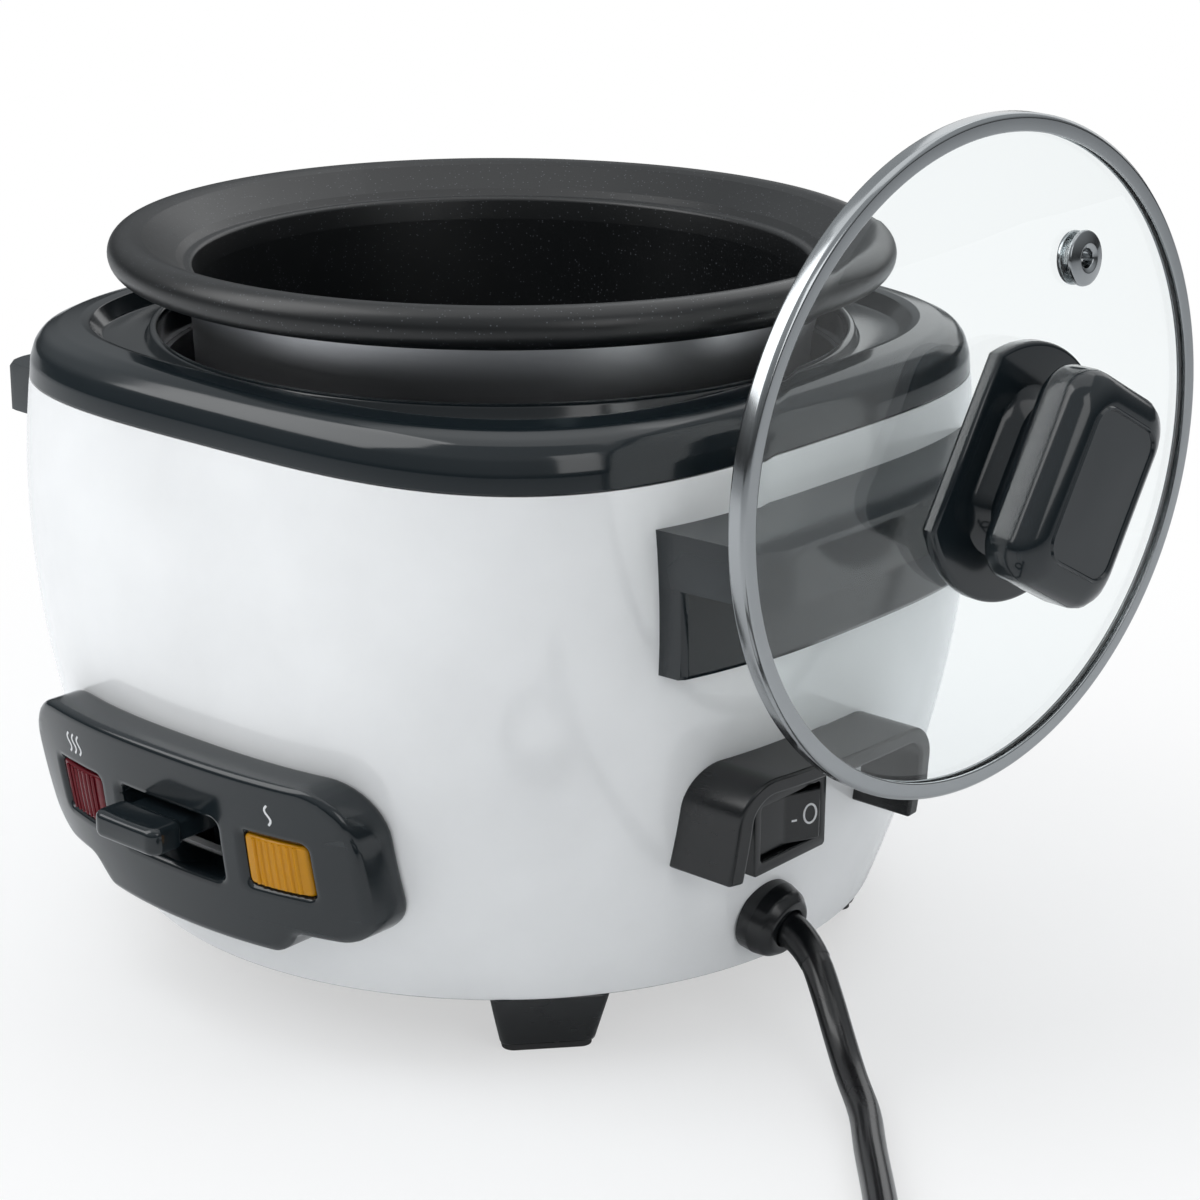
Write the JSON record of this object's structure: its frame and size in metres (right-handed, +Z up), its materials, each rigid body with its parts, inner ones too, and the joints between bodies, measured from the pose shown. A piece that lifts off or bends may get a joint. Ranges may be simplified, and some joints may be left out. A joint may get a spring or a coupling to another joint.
{
  "type": "rice cooker",
  "caption": "White rice cooker with a charcoal ring, handles and control panel, a lift-out pot, a parked glass lid and a mains cord.",
  "frame": {"origin": "middle of the box round everything but the cord, coil and plug, on the table under the feet", "axes": "+X to the side with the switch and parked lid, -Y to the control panel, +Z up"},
  "size_m": [0.4288, 0.3223, 0.2263],
  "materials": {
    "white_gloss": "gloss, faint orange peel",
    "charcoal_gloss": "gloss",
    "black_satin": "satin moulded",
    "pot_nonstick": "speckled non-stick inside, brushed outside",
    "cast_aluminium": "cast and machined",
    "steel_plate": "zinc plated",
    "rim_steel": "polished band",
    "clear_glass": "clear, toughened",
    "red_lens": "translucent",
    "amber_lens": "translucent",
    "cord_pvc": "smooth PVC",
    "dark_rubber": "matt",
    "ivory_ceramic": "matt ceramic",
    "wire_red": "wire insulation",
    "ferrite": "sintered",
    "brass_tab": "plain"
  },
  "bodies": {
    "base": {"outer_shell": "white_gloss", "top_ring": "charcoal_gloss", "inner_liner": "cast_aluminium", "base_plate": "steel_plate", "feet": "black_satin", "foot_pads": "dark_rubber", "foot_screws": "steel_plate", "foot_nuts": "steel_plate", "control_panel": "charcoal_gloss", "panel_screws": "steel_plate", "red_lens": "red_lens", "amber_lens": "amber_lens", "indicator_lamps": "clear_glass", "lever_bracket": "steel_plate", "lever_pin": "steel_plate", "lever_spring": "steel_plate", "micro_switch": "black_satin", "right_handle": "charcoal_gloss", "left_handle": "charcoal_gloss", "handle_screws": "steel_plate", "cord_bracket": "black_satin", "switch_housing": "black_satin", "switch_tabs": "brass_tab", "cable_gland": "black_satin", "gland_nut": "black_satin", "mains_cord": "cord_pvc", "cord_coil": "cord_pvc", "plug_body": "dark_rubber", "plug_pins": "brass_tab", "heating_plate": "cast_aluminium", "heating_element": "steel_plate", "element_posts": "ivory_ceramic", "plate_posts": "steel_plate", "thermostat_housing": "cast_aluminium", "plunger_spring": "steel_plate", "thermal_fuse": "ivory_ceramic", "terminal_block": "ivory_ceramic", "wiring": "wire_red"},
    "lever": {"cook_lever": "charcoal_gloss", "lever_arm": "steel_plate"},
    "rocker": {"rocker": "black_satin"},
    "thermostat": {"thermostat_plunger": "cast_aluminium"},
    "magnet": {"magnet": "ferrite"},
    "pot": {"inner_pot": "pot_nonstick"},
    "lid": {"lid_glass": "clear_glass", "lid_rim": "rim_steel", "lid_vent": "rim_steel", "knob_gasket": "dark_rubber", "knob_base": "charcoal_gloss", "knob_grip": "charcoal_gloss", "knob_screw": "steel_plate"}
  },
  "joints": [
    {"name": "lever_press", "type": "hinge", "parent": "base", "child": "lever", "pos_m": [-0.02465, -0.04667, 0.034], "axis": [1, 0, 0], "range_deg": [0, 6.31], "stiffness_Nm_per_rad": 1.5, "deforming": ["lever_spring"]},
    {"name": "magnet_lift", "type": "slide", "parent": "base", "child": "magnet", "axis": [0, 0, 1], "range_m": [0, 0.00683]},
    {"name": "thermostat_plunge", "type": "slide", "parent": "base", "child": "thermostat", "axis": [0, 0, 1], "range_m": [-0.003, 0], "stiffness_N_per_m": 400, "springref_m": 0.003, "deforming": ["plunger_spring"]},
    {"name": "switch_rock", "type": "hinge", "parent": "base", "child": "rocker", "pos_m": [0.08095, -0.00717, 0.057], "axis": [0, 0, 1], "range_deg": [0, 20]},
    {"name": "pot_lift", "type": "slide", "parent": "base", "child": "pot", "axis": [0, 0, 1], "range_m": [0, 0.125]},
    {"name": "lid_lift", "type": "slide", "parent": "base", "child": "lid", "axis": [0, 0, 1], "range_m": [0, 0.12]}
  ],
  "couplings": [
    {"joint": "magnet_lift", "follows": "lever_press", "m_per_rad": 0.062}
  ]
}
